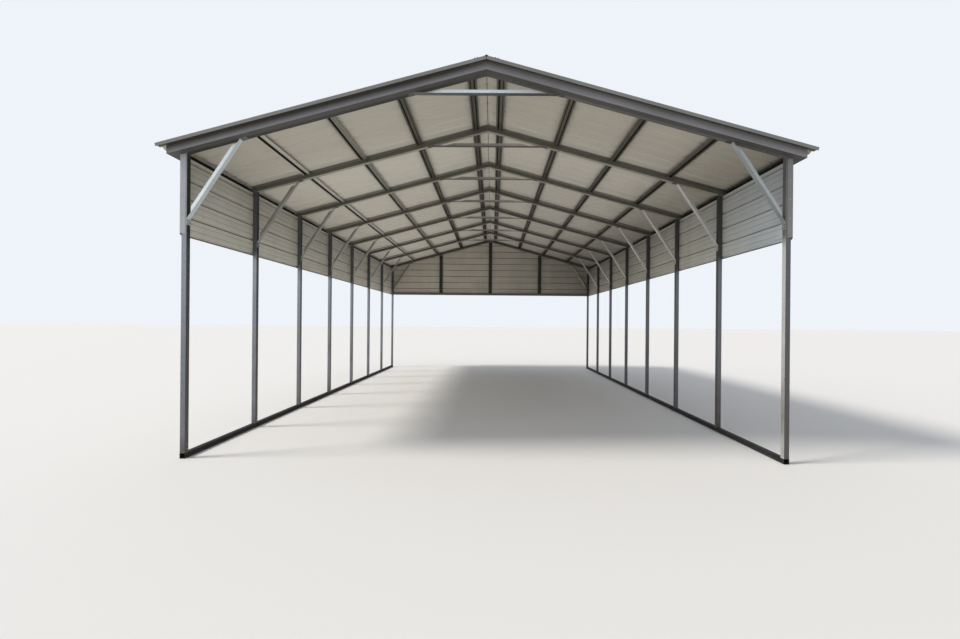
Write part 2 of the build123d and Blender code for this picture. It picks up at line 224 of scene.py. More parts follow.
def zinc_coat(name, bright, dull, metal, gloss, shine=0.5, soil_height=0.1, shade_span=DOWNWARD, shade_share=0.0,
              steep_shade=False, painted_light_and_shade=None):
    """Galvanized steel: spangle, cloudy dulling, pale bloom, painted light and shade, and soil and rust low
    down.

    Painted shade goes by which way a face looks, or by how level it is, so that steep faces are darkest."""
    finish, tree, shader = new_finish(name, {"Metallic": metal, "Specular IOR Level": shine})
    at = surface(tree)
    spangle = added(tree, "ShaderNodeTexVoronoi", {"Vector": at["way"], "Scale": spangle_scale}).outputs
    crystal = added(tree, "ShaderNodeSeparateColor", {0: spangle["Color"]}).outputs[0]
    clouds = pattern(tree, at["way"], dulling_scale, detail=5.0, rough=0.5)
    tone = worked(tree, "MULTIPLY_ADD", crystal, crystal_share, clouds)
    zinc = laid_over(tree, ranged(tree, tone, dulling_span), dull, bright)
    bloom = pattern(tree, at["way"], bloom_scale, detail=6.0, rough=0.7)
    zinc = laid_over(tree, ranged(tree, bloom, bloom_span, bloom_share * metal), zinc, zinc_bloom)
    if painted_light_and_shade:
        zinc = painted_light_and_shade(tree, at, zinc)
    if shade_share:
        rise = worked(tree, "ABSOLUTE", at["facing_Z"]) if steep_shade else at["facing_Z"]
        zinc = laid_over(tree, ranged(tree, rise, shade_span, shade_share), zinc, painted_shade_black)
    low = ranged(tree, at["Z"], (soil_height, 0.0))
    zinc = laid_over(tree, product(tree, low, ranged(tree, clouds, splash_span)), zinc, soil)
    spots = pattern(tree, at["way"], rust_scale, detail=4.0, rough=0.5)
    zinc = laid_over(tree, product(tree, low, ranged(tree, spots, rust_span)), zinc, rust)
    roughness = ranged(tree, bloom, WHOLE, gloss + zinc_gloss_spread, gloss)
    skinned(tree, shader, zinc, roughness, spangle["Distance"], strength=0.12, depth=0.0006)
    return finish


def finish_nodes(finish, names):
    """The named pieces as packed, in this finish."""
    for name in names:
        mesh = node[name].data
        mesh.materials.clear()
        mesh.materials.append(finish)


rail_zinc = zinc_coat(
    "rail_zinc_grime_and_painted_shade", rail_colour, rail_shade, metal=0.1, gloss=0.6, shine=0.15, soil_height=0.03)
finish_nodes(rail_zinc, ["base_rail_left", "base_rail_right", "post_sleeves"])


# Posts
# Square tube with rolled corners, cut to the roof's slope at the top. Each slips over a sleeve on the rail,
# where two self-drilling screws hold it on its inner side and two on its outer side.
frame_count = 8
tube_width = 0.0635
tube_gauge = 0.0021
tube_corner = 0.0045
corner_steps = 3
frame_length = 10.668
frame_pitch = (frame_length - tube_width) / (frame_count - 1)
frame_middles = [-frame_length / 2 + tube_width / 2 + frame_pitch * place for place in range(frame_count)]
post_outer = 3.6576
post_inner = post_outer - tube_width
post_middle = post_outer - tube_width / 2
eave_height = 3.668
roof_slope = 0.27
slope_angle = math.atan(roof_slope)
post_colour = (0.33, 0.355, 0.40, 1)
post_shade = (0.24, 0.26, 0.295, 1)
screw_colour = (0.50, 0.50, 0.49, 1)
screw_shade = (0.36, 0.36, 0.35, 1)
dull_screw_colour = (0.13, 0.128, 0.12, 1)
dull_screw_shade = (0.08, 0.079, 0.075, 1)
# The posts grow darker, with rust spots, towards the bottom, up to this height.
post_darkening_height = 2.4
# Heights above which the posts get painted shade from the side sheets.
sheet_shade_span = (2.60, 2.75)
foot_screw_heights = (0.110, 0.165)
head_sides = 6
washer_sides = 10
head_across = 0.008
head_height = 0.0045
washer_thickness = 0.0016
narrow_washer = 0.0125
wide_washer = 0.0145
turn_seed = 7
RIGHT_HALF = (-1.0, 1.0)
LEFT_HALF = (1.0, -1.0)
INWARD = (-1.0, -3.0)
AGAINST = (-0.3, -0.9)
ALONG = (0.3, 0.9)
SIDES = (1, -1)


def roof_height(x, rise=0.0):
    """Height, at a distance x from the ridge, of a line set rise above the rafters' underside."""
    return eave_height + (post_outer - abs(x)) * roof_slope + rise / math.cos(slope_angle)


def tube_ring(inset):
    """Points round a square section with rolled corners, set in from its outside."""
    turn = max(tube_corner - inset, 0.001)
    reach = tube_width / 2 - inset - turn
    ring = []
    for corner, (u_side, v_side) in enumerate(((1, 1), (-1, 1), (-1, -1), (1, -1))):
        for step in range(corner_steps + 1):
            angle = math.radians(90 * (corner + step / corner_steps))
            ring.append((u_side * reach + turn * math.cos(angle), v_side * reach + turn * math.sin(angle)))
    return ring


def grown(mesh, group, keys, settings, gauge=None):
    """What a node group makes of a mesh, and then a sheet's gauge if it has one, as a plain mesh."""
    source = bpy.data.objects.new(mesh.name, mesh)
    scene.collection.objects.link(source)
    growth = source.modifiers.new("growth", "NODES")
    growth.node_group = group
    for title, value in settings.items():
        growth[keys[title]] = value
    if gauge:
        wall = source.modifiers.new("gauge", "SOLIDIFY")
        wall.thickness = gauge
        wall.offset = 1.0
    made = bpy.data.meshes.new_from_object(source.evaluated_get(bpy.context.evaluated_depsgraph_get()))
    source.modifiers.clear()
    bpy.data.objects.remove(source)
    return made


def place_piece(mesh, name):
    """The mesh as a piece of its own, riding on the carport."""
    mesh.name = name
    piece = bpy.data.objects.new(name, mesh)
    scene.collection.objects.link(piece)
    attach(piece, "root")
    return piece


def rolled_tubes(name, runs, finish, replaced):
    """Square tubes between pairs of ends. Each end places a point of the tube's section in space."""
    outside = tube_ring(0.0)
    inside = tube_ring(tube_gauge)
    count = len(outside)
    points = []
    faces = []
    for low_end, high_end in runs:
        first = len(points)
        for ring, end in ((outside, low_end), (outside, high_end), (inside, low_end), (inside, high_end)):
            points += [end(u, v) for u, v in ring]
        for here in range(count):
            after = (here + 1) % count
            low_out, high_out, low_in, high_in = (first + count * ring for ring in range(4))
            faces.append((low_out + here, low_out + after, high_out + after, high_out + here))
            faces.append((low_in + after, low_in + here, high_in + here, high_in + after))
            faces.append((low_out + after, low_out + here, low_in + here, low_in + after))
            faces.append((high_out + here, high_out + after, high_in + after, high_in + here))
    mesh = bpy.data.meshes.new(name)
    mesh.from_pydata(points, [], faces)
    face_out(mesh)
    mesh.materials.append(finish)
    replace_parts(place_piece(mesh, name), replaced)


def face_out(mesh):
    """Turns every closed shell of a mesh so that its faces point outwards."""
    work = bmesh.new()
    work.from_mesh(mesh)
    bmesh.ops.recalc_face_normals(work, faces=work.faces)
    work.to_mesh(mesh)
    work.free()


def post_run(side, y):
    """The foot and the sloping head of one post."""
    def foot(u, v):
        return (side * post_middle + u, y + v, tube_width)

    def head(u, v):
        x = side * post_middle + u
        return (x, y + v, roof_height(x))

    return foot, head


def node_group(name, taken, inputs, result):
    """A node group that takes a mesh and named inputs, the keys of those, and its input sockets."""
    tree = bpy.data.node_groups.new(name, "GeometryNodeTree")
    face = tree.interface
    face.new_socket(taken, in_out="INPUT", socket_type="NodeSocketGeometry")
    keys = {}
    for title, kind in inputs.items():
        keys[title] = face.new_socket(title, in_out="INPUT", socket_type="NodeSocket" + kind).identifier
    face.new_socket(result, in_out="OUTPUT", socket_type="NodeSocketGeometry")
    return tree, keys, tree.nodes.new("NodeGroupInput").outputs


def painted(tree, geometry, given):
    """Makes a group's copies real, gives them their finish and hands them out."""
    real = added(tree, "GeometryNodeRealizeInstances", {0: geometry})
    paint = added(tree, "GeometryNodeSetMaterial", {"Geometry": real.outputs[0], "Material": given["Finish"]})
    added(tree, "NodeGroupOutput", {0: paint.outputs[0]})


def screw_group():
    """A hex head on a round washer at each point, standing along the point's facing and turned at random."""
    tree, keys, given = node_group("hex_washer_screws", "Places", {
        "Head across": "Float", "Head height": "Float", "Washer across": "Float", "Washer thickness": "Float",
        "Turn seed": "Int", "Finish": "Material"}, "Screws")
    screw = tree.nodes.new("GeometryNodeJoinGeometry")
    thickness = given["Washer thickness"]
    height = given["Head height"]
    head_radius = worked(tree, "MULTIPLY", given["Head across"], 1 / math.sqrt(3))
    washer_radius = worked(tree, "MULTIPLY", given["Washer across"], 0.5)
    discs = (
        (head_sides, head_radius, height, worked(tree, "MULTIPLY_ADD", height, 0.5, thickness)),
        (washer_sides, washer_radius, thickness, worked(tree, "MULTIPLY", thickness, 0.5)),
    )
    for sides, radius, depth, middle in discs:
        disc = added(tree, "GeometryNodeMeshCylinder", {"Vertices": sides, "Radius": radius, "Depth": depth})
        lift = added(tree, "ShaderNodeCombineXYZ", {"Z": middle})
        raised = added(tree, "GeometryNodeTransform", {
            "Geometry": disc.outputs["Mesh"], "Translation": lift.outputs[0]})
        tree.links.new(raised.outputs[0], screw.inputs[0])

    facing = added(tree, "GeometryNodeInputNamedAttribute", {"Name": "facing"}, data_type="FLOAT_VECTOR")
    stand = added(tree, "FunctionNodeAlignRotationToVector", {
        "Vector": facing.outputs["Attribute"]}, axis="Z")
    turn = added(tree, "FunctionNodeRandomValue", {
        "Min": (0.0, 0.0, 0.0), "Max": (0.0, 0.0, math.radians(60)), "Seed": given["Turn seed"],
    }, data_type="FLOAT_VECTOR")
    spin = added(tree, "FunctionNodeEulerToRotation", {0: turn.outputs["Value"]})
    turned = added(tree, "FunctionNodeRotateRotation", {
        "Rotation": stand.outputs[0], "Rotate By": spin.outputs[0]}, rotation_space="LOCAL")
    seats = added(tree, "GeometryNodeMeshToPoints", {"Mesh": given["Places"]})
    driven = added(tree, "GeometryNodeInstanceOnPoints", {
        "Points": seats.outputs["Points"], "Instance": screw.outputs[0], "Rotation": turned.outputs[0]})
    painted(tree, driven.outputs[0], given)
    return tree, keys


def set_screws(name, places, finish, washer_across):
    """Screws driven at the places given, each a point on a surface and the way out of it."""
    seats = bpy.data.meshes.new(name + "_places")
    seats.from_pydata([place for place, facing in places], [], [])
    ways = seats.attributes.new("facing", "FLOAT_VECTOR", "POINT")
    for index, (place, facing) in enumerate(places):
        ways.data[index].vector = facing
    screws = grown(seats, *screws_group, {
        "Head across": head_across, "Head height": head_height, "Washer across": washer_across,
        "Washer thickness": washer_thickness, "Turn seed": turn_seed, "Finish": finish})
    place_piece(screws, name)


def front_post_painted_light(tree, at, zinc):
    """Painted shade facing right, on the right post's front and high on inner faces; painted light on its
    inner face.
    """
    right = ranged(tree, at["X"], RIGHT_HALF)
    zinc = laid_over(tree, ranged(tree, at["facing_X"], ALONG, share=0.78), zinc, painted_shade_black)
    fronts = ranged(tree, at["facing_Y"], AGAINST, share=0.68)
    zinc = laid_over(tree, product(tree, right, fronts), zinc, painted_shade_black)
    lit_face = ranged(tree, at["facing_X"], AGAINST, share=0.55)
    zinc = laid_over(tree, product(tree, right, lit_face), zinc, painted_light_zinc)
    inner = ranged(tree, product(tree, at["X"], at["facing_X"]), INWARD, share=0.8)
    return laid_over(tree, product(tree, inner, ranged(tree, at["Z"], sheet_shade_span)), zinc, painted_shade_black)


def sheltered_post_painted_shade(tree, at, zinc):
    """Painted shade on faces toward the bay, on the right posts' fronts, and all over above the side sheets'
    foot.
    """
    inner = ranged(tree, product(tree, at["X"], at["facing_X"]), INWARD, share=0.75)
    zinc = laid_over(tree, inner, zinc, painted_shade_black)
    fronts = ranged(tree, at["facing_Y"], AGAINST, share=0.5)
    zinc = laid_over(tree, product(tree, ranged(tree, at["X"], RIGHT_HALF), fronts), zinc, painted_shade_black)
    return laid_over(tree, ranged(tree, at["Z"], sheet_shade_span, share=0.7), zinc, painted_shade_black)


# The front posts carry painted light and shade, the others painted shade.
post_zinc = zinc_coat(
    "front_post_zinc_painted_light", post_colour, post_shade, metal=0.35, gloss=0.36, soil_height=post_darkening_height,
    painted_light_and_shade=front_post_painted_light)
shaded_post_zinc = zinc_coat(
    "post_zinc_painted_shade", post_colour, post_shade, metal=0.35, gloss=0.36, soil_height=post_darkening_height,
    painted_light_and_shade=sheltered_post_painted_shade)
screw_zinc = zinc_coat("screw_zinc", screw_colour, screw_shade, metal=0.7, gloss=0.3)
dull_screw_zinc = zinc_coat("dull_screw_zinc", dull_screw_colour, dull_screw_shade, metal=0.4, gloss=0.45)
screws_group = screw_group()
foot_places = []
for number, y in enumerate(frame_middles, 1):
    finish = post_zinc if number == 1 else shaded_post_zinc
    posts = [post_run(side, y) for side in SIDES]
    rolled_tubes("post_tubes_%d" % number, posts, finish, "frame_%d_posts" % number)
    for side in SIDES:
        for z in foot_screw_heights:
            foot_places.append(((side * post_inner, y, z), (-side, 0, 0)))
            foot_places.append(((side * post_outer, y, z), (side, 0, 0)))
set_screws("post_foot_screws", foot_places, screw_zinc, narrow_washer)


# Rafters
# The same tube, mitred and welded at the ridge and run past the posts as tails. The posts are welded under
# them, and the welds are brushed over with zinc paint that has begun to rust.
mitre_gap = 0.00025
rafter_tail = 0.120
tail_end = post_outer + rafter_tail
rafter_colour = (0.30, 0.29, 0.27, 1)
rafter_shade = (0.21, 0.20, 0.185, 1)
inner_rafter_colour = (0.41, 0.395, 0.32, 1)
inner_rafter_shade = (0.33, 0.315, 0.255, 1)
bead_sides = 6
bead_radius = 0.0026
bead_fineness = 140.0
bead_start = 0.004
bead_corner = 0.006
ripple_length = 0.004
bead_unevenness = 0.0012
weld_colour = (0.26, 0.24, 0.22, 1)
weld_shade = (0.15, 0.10, 0.07, 1)


def rafter_run(side, y):
    """The ridge end and the tail end of one rafter, both cut upright."""
    def cut(x):
        def end(u, v):
            return (side * x, y + u, roof_height(x, tube_width / 2 + v))
        return end

    return cut(mitre_gap), cut(tail_end)


def bead_group():
    """A weld bead along each given line: a round rod whose skin wanders in and out."""
    tree, keys, given = node_group("weld_beads", "Seams", {
        "Bead radius": "Float", "Ripple length": "Float", "Unevenness": "Float", "Finish": "Material",
    }, "Beads")
    seam = added(tree, "GeometryNodeMeshToCurve", {"Mesh": given["Seams"]})
    steps = added(tree, "GeometryNodeResampleCurve", {
        "Curve": seam.outputs[0], "Length": given["Ripple length"]}, mode="LENGTH")
    ring = added(tree, "GeometryNodeCurvePrimitiveCircle", {
        "Resolution": bead_sides, "Radius": given["Bead radius"]})
    rod = added(tree, "GeometryNodeCurveToMesh", {
        "Curve": steps.outputs[0], "Profile Curve": ring.outputs["Curve"], "Fill Caps": True})
    wander = added(tree, "ShaderNodeTexNoise", {"Scale": bead_fineness})
    amount = worked(tree, "MULTIPLY", wander.outputs["Fac"], given["Unevenness"])
    skin = added(tree, "GeometryNodeInputNormal", {})
    push = added(tree, "ShaderNodeVectorMath", {0: skin.outputs[0], "Scale": amount}, operation="SCALE")
    uneven = added(tree, "GeometryNodeSetPosition", {"Geometry": rod.outputs[0], "Offset": push.outputs[0]})
    painted(tree, uneven.outputs[0], given)
    return tree, keys


def lay_beads(name, seams, finish):
    """Weld beads along open lines of points."""
    points = []
    edges = []
    for seam in seams:
        first = len(points)
        points += seam
        edges += [(first + step, first + step + 1) for step in range(len(seam) - 1)]
    mesh = bpy.data.meshes.new(name + "_seams")
    mesh.from_pydata(points, edges, [])
    beads = grown(mesh, *beads_group, {
        "Bead radius": bead_radius, "Ripple length": ripple_length, "Unevenness": bead_unevenness,
        "Finish": finish})
    place_piece(beads, name)


def frame_seams(number, y):
    """Where a frame is welded: round its post heads and its ridge, but not under a gable's trim or sheet."""
    front, back = y - tube_width / 2, y + tube_width / 2
    faces = [front, back]
    if number == 1:
        faces = [back]
    if number == frame_count:
        faces = [front]
    seams = []
    for side in SIDES:
        outer = side * (post_outer - bead_corner)
        inner = side * post_inner
        seams.append([(inner, front, roof_height(inner)), (inner, back, roof_height(inner))])
        for face_y in faces:
            seams.append([(inner, face_y, roof_height(inner)), (outer, face_y, roof_height(outer))])
    seams.append([(0, front, roof_height(0)), (0, back, roof_height(0))])
    for face_y in faces:
        seams.append([(0, face_y, roof_height(0)), (0, face_y, roof_height(0, tube_width - bead_start))])
    return seams


def front_rafter_painted_shade(tree, at, zinc):
    """Thicker painted shade under the left slope."""
    under = ranged(tree, at["facing_Z"], DOWNWARD, share=0.86)
    return laid_over(tree, product(tree, ranged(tree, at["X"], LEFT_HALF), under), zinc, painted_shade_black)


# The inner rafters are tinted warm as a painted reflection of the cream roof and get painted shade on their
# upright faces; the front rafters get painted shade on their undersides.
front_rafter_zinc = zinc_coat(
    "front_rafter_zinc", rafter_colour, rafter_shade, metal=0.35, gloss=0.42, shade_share=0.48,
    painted_light_and_shade=front_rafter_painted_shade)
rafter_zinc = zinc_coat(
    "inner_rafter_zinc", inner_rafter_colour, inner_rafter_shade, metal=0.35, gloss=0.45,
    shade_span=(0.85, 0.3), shade_share=0.73, steep_shade=True)
weld_zinc = zinc_coat("brushed_weld_zinc", weld_colour, weld_shade, metal=0.3, gloss=0.5)
beads_group = bead_group()
weld_seams = []
for number, y in enumerate(frame_middles, 1):
    finish = front_rafter_zinc if number == 1 else rafter_zinc
    rafters = [rafter_run(side, y) for side in SIDES]
    rolled_tubes("rafter_tubes_%d" % number, rafters, finish, "frame_%d_rafters" % number)
    weld_seams += frame_seams(number, y)
lay_beads("frame_welds", weld_seams, weld_zinc)


# Knee and peak braces
# U channels of brighter zinc. Their flanges are cut off short of each end, and the web runs on as a bent tab
# that four screws hold to the post or the rafter. The last frame has no peak brace.
# The front frame's braces are painted lighter and bluish, as lit by the sky in front of them.
front_brace_colour = (0.84, 0.91, 0.92, 1)
front_brace_shade = (0.68, 0.73, 0.745, 1)
brace_colour = (0.62, 0.61, 0.575, 1)
brace_shade = (0.46, 0.45, 0.425, 1)
shade_to_right = (-0.5, 1.2)
shade_to_left = (1.2, -0.5)
brace_gauge = 0.0019
knee_foot = 2.892
knee_reach = 0.634
knee_head = post_inner - knee_reach
peak_end = 0.863
tab_rows = (0.022, 0.056)
tab_half_gap = 0.018
down_right = Vector((-math.sin(slope_angle), 0, -math.cos(slope_angle)))


def under_rafter(side, x, y):
    """A place on a tab under a rafter, and the way its screw head faces."""
    return (side * x, y, roof_height(x, -brace_gauge)), (side * down_right.x, 0, down_right.z)


tab_places = []
for number, y in enumerate(frame_middles, 1):
    for side in SIDES:
        for row in tab_rows:
            for across in (-tab_half_gap, tab_half_gap):
                tab_places.append(
                    ((side * (post_inner - brace_gauge), y + across, knee_foot - row), (-side, 0, 0)))
                tab_places.append(under_rafter(side, knee_head - row * math.cos(slope_angle), y + across))
                if number < frame_count:
                    tab_places.append(under_rafter(side, peak_end + row * math.cos(slope_angle), y + across))


def front_brace_painted_shade(tree, at, zinc):
    """Painted shade towards the right."""
    return laid_over(tree, ranged(tree, at["X"], shade_to_right, share=0.55), zinc, painted_shade_black)


def brace_painted_shade(tree, at, zinc):
    """Painted shade towards the left."""
    return laid_over(tree, ranged(tree, at["X"], shade_to_left, share=0.45), zinc, painted_shade_black)


# All braces get painted shade on faces that look down.
front_brace_zinc = zinc_coat(
    "front_brace_zinc", front_brace_colour, front_brace_shade, metal=0.7, gloss=0.28,
    shade_span=(-0.75, -0.98), shade_share=0.85, painted_light_and_shade=front_brace_painted_shade)
brace_zinc = zinc_coat(
    "brace_zinc_painted_shade", brace_colour, brace_shade, metal=0.6, gloss=0.32,
    shade_span=(-0.6, -0.95), shade_share=0.85, painted_light_and_shade=brace_painted_shade)
finish_nodes(front_brace_zinc, ["frame_1_braces"])
finish_nodes(brace_zinc, ["frame_%d_braces" % number for number in range(2, frame_count + 1)])
set_screws("brace_tab_screws", tab_places, dull_screw_zinc, narrow_washer)


# Hat channels
# Galvanized strip rolled to a hat with a narrow crown and sloping webs, laid crown up on the rafters. From
# below, the webs inside are painted black as shade, and the crown and the flanges lighter.
hat_places = (0.181, 1.061, 1.941, 2.821, 3.716)
hat_depth = 0.035
hat_crown = 0.040
hat_mouth = 0.072
hat_flange = 0.021
hat_gauge = 0.0012
hat_bend = 0.004
hat_overhang = 0.0895
hat_half_length = frame_length / 2 + hat_overhang
hat_colour = (0.17, 0.16, 0.13, 1)
hat_shade = (0.12, 0.113, 0.092, 1)
hat_highlight_stretch = (-1.5, -2.8)
up_right = -down_right
along_right = Vector((math.cos(slope_angle), 0, -math.sin(slope_angle)))


def roof_point(side, x, y, rise):
    """A point of the roof, set rise square to the slope above the rafters' underside."""
    return Vector((side * x, y, roof_height(x, rise)))


def rounded(line, bend):
    """An open line of flat points with each corner cut to three short bends."""
    smooth = [line[0]]
    for before, corner, after in zip(line, line[1:], line[2:]):
        there = Vector(before) - Vector(corner)
        onward = Vector(after) - Vector(corner)
        first = Vector(corner) + there.normalized() * bend
        last = Vector(corner) + onward.normalized() * bend
        middle = (first + last + 2 * Vector(corner)) / 4
        smooth += [tuple(first), tuple(middle), tuple(last)]
    return smooth + [line[-1]]


def strip_group():
    """Sweeps a sheet's line along its run and lays copies of it side by side."""
    tree, keys, given = node_group("swept_strips", "Line", {
        "Run": "Vector", "Count": "Int", "Spacing": "Vector", "Finish": "Material"}, "Strips")
    sweep = added(tree, "GeometryNodeExtrudeMesh", {
        "Mesh": given["Line"], "Offset": given["Run"]}, mode="EDGES")
    places = added(tree, "GeometryNodeMeshLine", {"Count": given["Count"], "Offset": given["Spacing"]})
    lay = added(tree, "GeometryNodeInstanceOnPoints", {
        "Points": places.outputs[0], "Instance": sweep.outputs["Mesh"]})
    painted(tree, lay.outputs[0], given)
    return tree, keys


def swept_strips(points, run, count, spacing, gauge, finish):
    """Like strips of sheet on the right slope, as a mesh. Their line is the strip's underside."""
    line = bpy.data.meshes.new("strip_line")
    line.from_pydata(points, [(here, here + 1) for here in range(len(points) - 1)], [])
    settings = {"Run": run, "Count": count, "Spacing": spacing, "Finish": finish}
    return grown(line, *strips_group, settings, gauge)


def joined_slope(name, meshes, finish, side):
    """Meshes drawn on the right slope as one, turned over to the left where it belongs there."""
    slope = bmesh.new()
    for mesh in meshes:
        slope.from_mesh(mesh)
    whole = bpy.data.meshes.new(name)
    slope.to_mesh(whole)
    slope.free()
    whole.shade_flat()
    whole.materials.append(finish)
    if side < 0:
        whole.transform(Matrix.Scale(-1, 4, (1, 0, 0)))
    face_out(whole)
    return whole


def hat_line(x):
    """Underside of one hat channel across its width, at its front end."""
    half = [
        (hat_mouth / 2 + hat_flange, 0.0),
        (hat_mouth / 2, 0.0),
        (hat_crown / 2, hat_depth - hat_gauge),
    ]
    line = rounded([(-u, v) for u, v in half] + half[::-1], hat_bend)
    foot = roof_point(1, x, -hat_half_length, tube_width)
    return [foot + along_right * u + up_right * v for u, v in line]


def hat_painted_highlight(tree, at, zinc):
    """Painted highlight out on the left slope."""
    return laid_over(tree, ranged(tree, at["X"], hat_highlight_stretch, share=0.65), zinc, painted_light_zinc)


hat_zinc = zinc_coat(
    "hat_channel_zinc", hat_colour, hat_shade, metal=0.25, gloss=0.4, shine=0.1,
    shade_span=(0.92, 0.75), shade_share=1.0, steep_shade=True, painted_light_and_shade=hat_painted_highlight)
strips_group = strip_group()
hat_run = (0.0, 2 * hat_half_length, 0.0)
hat_meshes = [swept_strips(hat_line(x), hat_run, 1, (0.0, 0.0, 0.0), hat_gauge, hat_zinc) for x in hat_places]
for side, title in ((1, "right"), (-1, "left")):
    channels = joined_slope("hat_channels_" + title, hat_meshes, hat_zinc, side)
    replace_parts(place_piece(channels, "hat_channels_" + title), "purlins_" + title)


# Roof sheets
# Ribbed steel sheets 0.91 m wide and as long as the slope, lapped one rib on the next and screwed to every
# hat channel. Their upper side has a baked stone-coloured coat, and their underside a paler backing coat.
coat_colour = (0.64, 0.62, 0.565, 1)
coat_shade = (0.56, 0.54, 0.49, 1)
backing_colour = (0.72, 0.68, 0.59, 1)
underside_painted_shade = (0.32, 0.29, 0.235, 1)
dust_and_painted_shade = (0.10, 0.09, 0.075, 1)
rain_dirt = (0.34, 0.31, 0.26, 1)
coat_cloud_scale = 1.7
coat_cloud_span = (0.3, 0.7)
dirt_span = (0.48, 0.85)
underside_span = (-0.05, -0.15)
ledge_span = (0.12, 0.6)
coat_gloss_spread = 0.3
shaded_stretches = (("X", (-0.1, 0.3), 0.15), ("Y", (-3.4, -4.4), 0.45), ("X", (2.4, 3.3), 0.6))
deep_across = (0.6, 3.0)
deep_along = (-1.0, 3.0)
rafter_shadow_band = (0.078, 0.048)
rafter_shadow_shift = 0.030
past_fascia = (5.40, 5.43)
hat_top_rise = 0.0985
roof_edge = 3.8646
ridge_gap = 0.004
rib_pitch = 0.2286
rib_height = 0.019
rib_base = 0.060
rib_top = 0.022
low_rib_height = 0.003
low_rib_base = 0.022
low_rib_shoulder = (0.35, 0.75)
sheet_gauge = 0.0005
lap_tuck = 0.0007
rib_turn = 0.003
panel_count = 12
panel_ribs = 4
roof_half_length = panel_count * panel_ribs * rib_pitch / 2


def baked_coat(name, bright, dull, gloss, streak_scale, dirt_level, underside=None, ledge=None, shade=None,
               painted_light_and_shade=None):
    """Factory-painted sheet: faint clouding, rain dirt drawn out along the fall, slight waviness.

    Faces that look down may have a coat of their own and painted shade, faces that look up dust and painted
    shade, and the whole sheet painted light and shade laid by place."""
    finish, tree, shader = new_finish(name, {"Specular IOR Level": 0.4})
    at = surface(tree)
    rise = at["facing_Z"]
    clouds = pattern(tree, at["way"], coat_cloud_scale, detail=4.0, rough=0.5)
    coat = laid_over(tree, ranged(tree, clouds, coat_cloud_span), dull, bright)
    fall = added(tree, "ShaderNodeMapping", {"Vector": at["way"], "Scale": streak_scale})
    streaks = pattern(tree, fall.outputs[0], 1.0, detail=5.0, rough=0.6)
    coat = laid_over(tree, ranged(tree, streaks, dirt_span, dirt_level), coat, rain_dirt)
    if painted_light_and_shade:
        coat = painted_light_and_shade(tree, at, coat)
    if underside:
        coat = laid_over(tree, ranged(tree, rise, underside_span), coat, underside(tree, at))
    if ledge:
        coat = laid_over(tree, ranged(tree, rise, ledge_span, ledge), coat, dust_and_painted_shade)
    if shade:
        coat = laid_over(tree, ranged(tree, rise, DOWNWARD, shade), coat, painted_shade_black)
    roughness = ranged(tree, streaks, WHOLE, gloss + coat_gloss_spread, gloss)
    skinned(tree, shader, coat, roughness, clouds, strength=0.25, depth=0.004)
    return finish


def sheet_underside(tree, at):
    """Backing coat, painted shade in front and down the right slope, painted shadow at rafters and past the
    fascias.
    """
    under = backing_colour
    for axis, stretch, share in shaded_stretches:
        under = laid_over(tree, ranged(tree, at[axis], stretch, share), under, underside_painted_shade)
    deep = ranged(tree, at["Y"], deep_along, share=0.85)
    deep_right = product(tree, ranged(tree, at["X"], deep_across), deep)
    under = laid_over(tree, deep_right, under, underside_painted_shade)
    from_first = worked(tree, "SUBTRACT", at["Y"], frame_middles[0] + rafter_shadow_shift)
    from_frame = worked(tree, "PINGPONG", from_first, frame_pitch / 2)
    under = laid_over(tree, ranged(tree, from_frame, rafter_shadow_band, share=0.6), under, painted_shade_black)
    outside = ranged(tree, worked(tree, "ABSOLUTE", at["Y"]), past_fascia, share=0.95)
    return laid_over(tree, outside, under, painted_shade_black)


def panel_line(first=False, last=False):
    """Underside of a sheet across its width. An edge rib laps the next sheet's, or a flat ends at a gable."""
    line = [(-rib_pitch / 2, 0.0)] if first else []
    for place in range(panel_ribs if last else panel_ribs + 1):
        centre = place * rib_pitch
        under = lap_tuck if place == 0 and not first else 0.0
        half_base = rib_base / 2 - under
        half_top = rib_top / 2 - under
        tall = rib_height - under
        share = rib_turn / math.hypot(half_base - half_top, tall)
        dx = (half_base - half_top) * share
        dz = tall * share
        rib = [
            (-half_base - rib_turn, 0.0),
            (-half_base + dx, dz),
            (-half_top - dx, tall - dz),
            (-half_top + rib_turn, tall),
            (half_top - rib_turn, tall),
            (half_top + dx, tall - dz),
            (half_base - dx, dz),
            (half_base + rib_turn, 0.0),
        ]
        if place == 0 and not first:
            rib = rib[1:]
        if place == panel_ribs:
            rib = rib[:-1]
        line += [(centre + u, v) for u, v in rib]
        if place < panel_ribs:
            for third in (1,) if last and place == panel_ribs - 1 else (1, 2):
                middle = centre + rib_pitch * third / 3
                half = low_rib_base / 2
                out, up = half * low_rib_shoulder[0], low_rib_height * low_rib_shoulder[1]
                line += [
                    (middle - half, 0.0),
                    (middle - out, up),
                    (middle, low_rib_height),
                    (middle + out, up),
                    (middle + half, 0.0),
                ]
    return line + [((panel_ribs - 0.5) * rib_pitch, 0.0)] if last else line


def lay_sheets(line, first_sheet, count):
    """Like sheets side by side down the right slope, as a mesh."""
    first_rib = -roof_half_length + rib_pitch * (first_sheet * panel_ribs + 0.5)
    start = roof_point(1, ridge_gap, first_rib, hat_top_rise)
    points = [start + Vector((0, u, 0)) + up_right * v for u, v in line]
    fall = along_right * ((roof_edge - ridge_gap) / math.cos(slope_angle))
    return swept_strips(points, fall, count, (0.0, panel_ribs * rib_pitch, 0.0), sheet_gauge, roof_coat)


